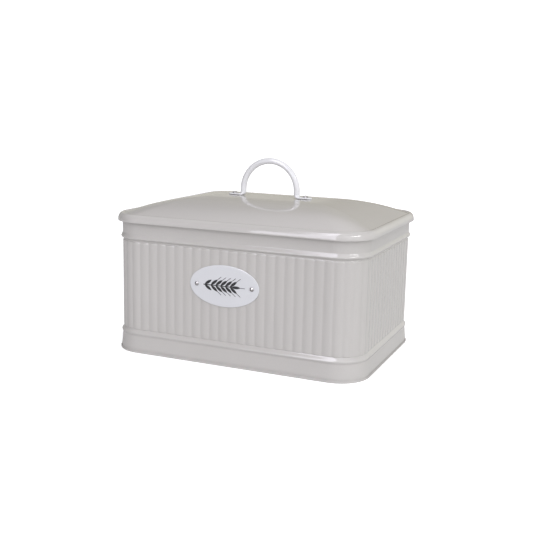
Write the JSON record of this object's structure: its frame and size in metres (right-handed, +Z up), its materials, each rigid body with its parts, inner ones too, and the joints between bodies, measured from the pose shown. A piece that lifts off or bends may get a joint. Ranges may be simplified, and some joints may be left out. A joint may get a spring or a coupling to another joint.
{
  "type": "bread bin",
  "caption": "Rounded rectangular bread bin of painted ribbed sheet steel, with an oval front plate and a domed lift-off lid with a white arched wire handle.",
  "frame": {"origin": "centre of the flat ring under the base, on the table", "axes": "+X along the bin's length, -Y its front with the oval plate, +Z up"},
  "size_m": [0.3526, 0.2586, 0.2542],
  "materials": {
    "greige_enamel": "glossy warm light grey enamel",
    "white_enamel": "glossy white enamel",
    "white_paint": "semi-gloss white paint",
    "black_print": "black fired-on print",
    "bare_steel": "plain zinc-plated steel"
  },
  "bodies": {
    "bin": {"body_wall": "greige_enamel", "base_pan": "greige_enamel", "label_plate": "white_enamel", "label_motif": "black_print", "label_rivets": "bare_steel", "label_washers": "bare_steel"},
    "lid": {"lid_shell": "greige_enamel", "lid_collar": "greige_enamel", "handle": "white_paint", "handle_screws": "bare_steel", "handle_washers": "bare_steel", "handle_nuts": "bare_steel"}
  },
  "joints": [
    {"name": "lid_lift", "type": "slide", "parent": "bin", "child": "lid", "axis": [0, 0, 1], "range_m": [0, 0.25]}
  ]
}
